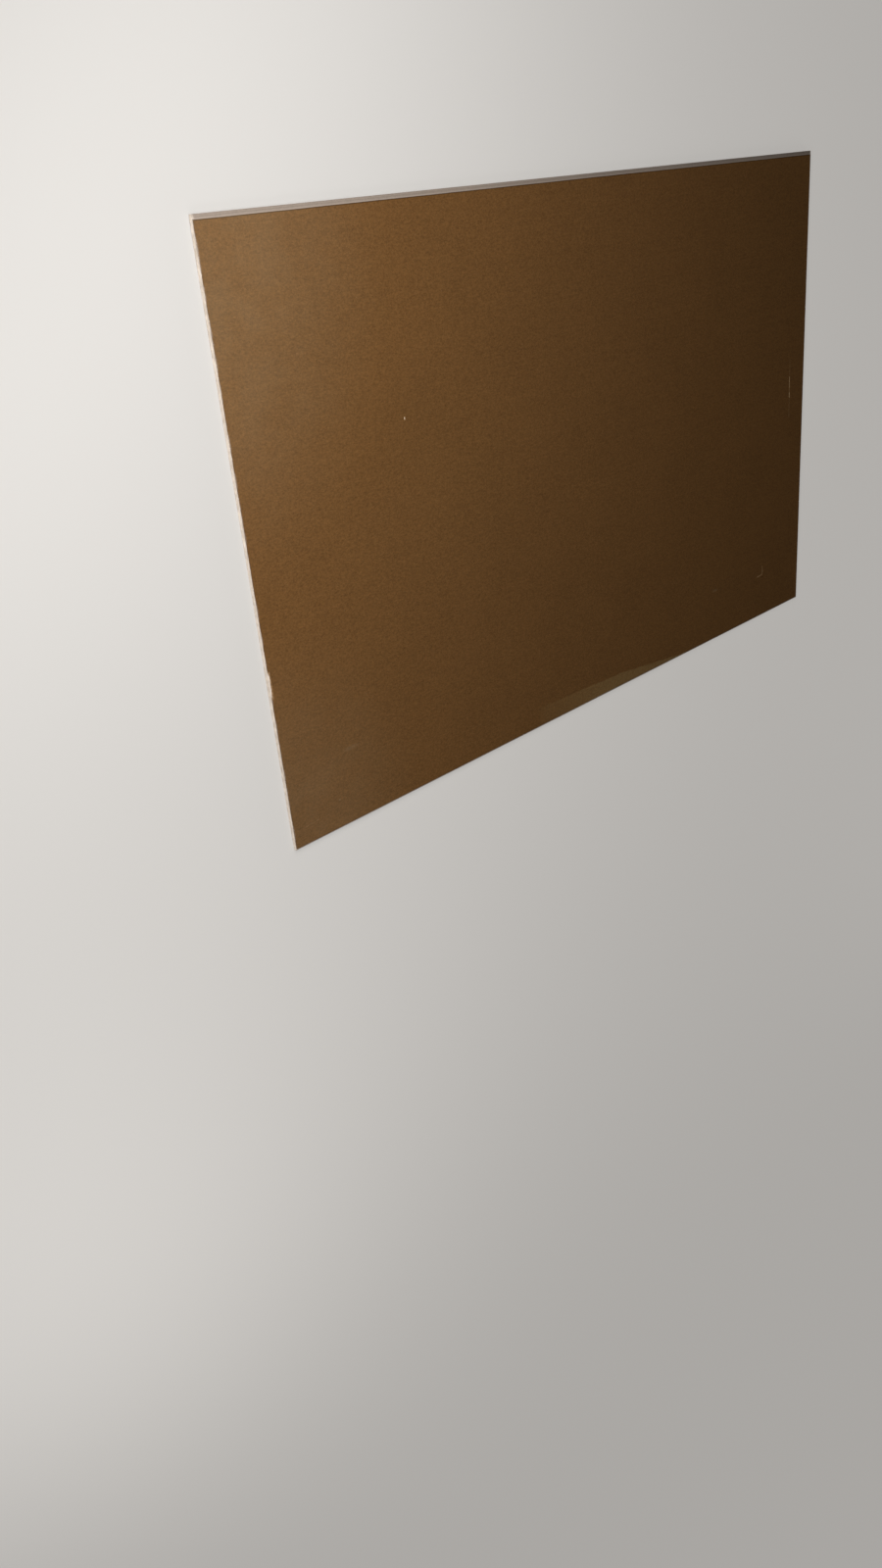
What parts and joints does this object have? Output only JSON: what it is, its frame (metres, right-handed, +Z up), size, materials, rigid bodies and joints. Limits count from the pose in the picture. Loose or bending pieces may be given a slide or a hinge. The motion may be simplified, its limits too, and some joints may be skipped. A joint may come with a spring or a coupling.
{
  "type": "drywall sheet",
  "caption": "Plasterboard sheet lying flat: a gypsum core between a grey face paper, folded round tapered long edges, and a brown back paper; short ends cut square and bare.",
  "frame": {"origin": "middle of the underside, which is the grey face", "axes": "+X along the sheet's length, +Y across its width towards the long edge with the wider bare strip of grey paper, +Z up, out of the brown back"},
  "size_m": [1.92, 1.2, 0.0095],
  "materials": {
    "gypsum": "matte",
    "grey_paper": "matte",
    "brown_paper": "matte"
  },
  "bodies": {
    "root": {"gypsum_core": "gypsum", "face_paper": "grey_paper", "back_paper": "brown_paper"}
  },
  "joints": []
}
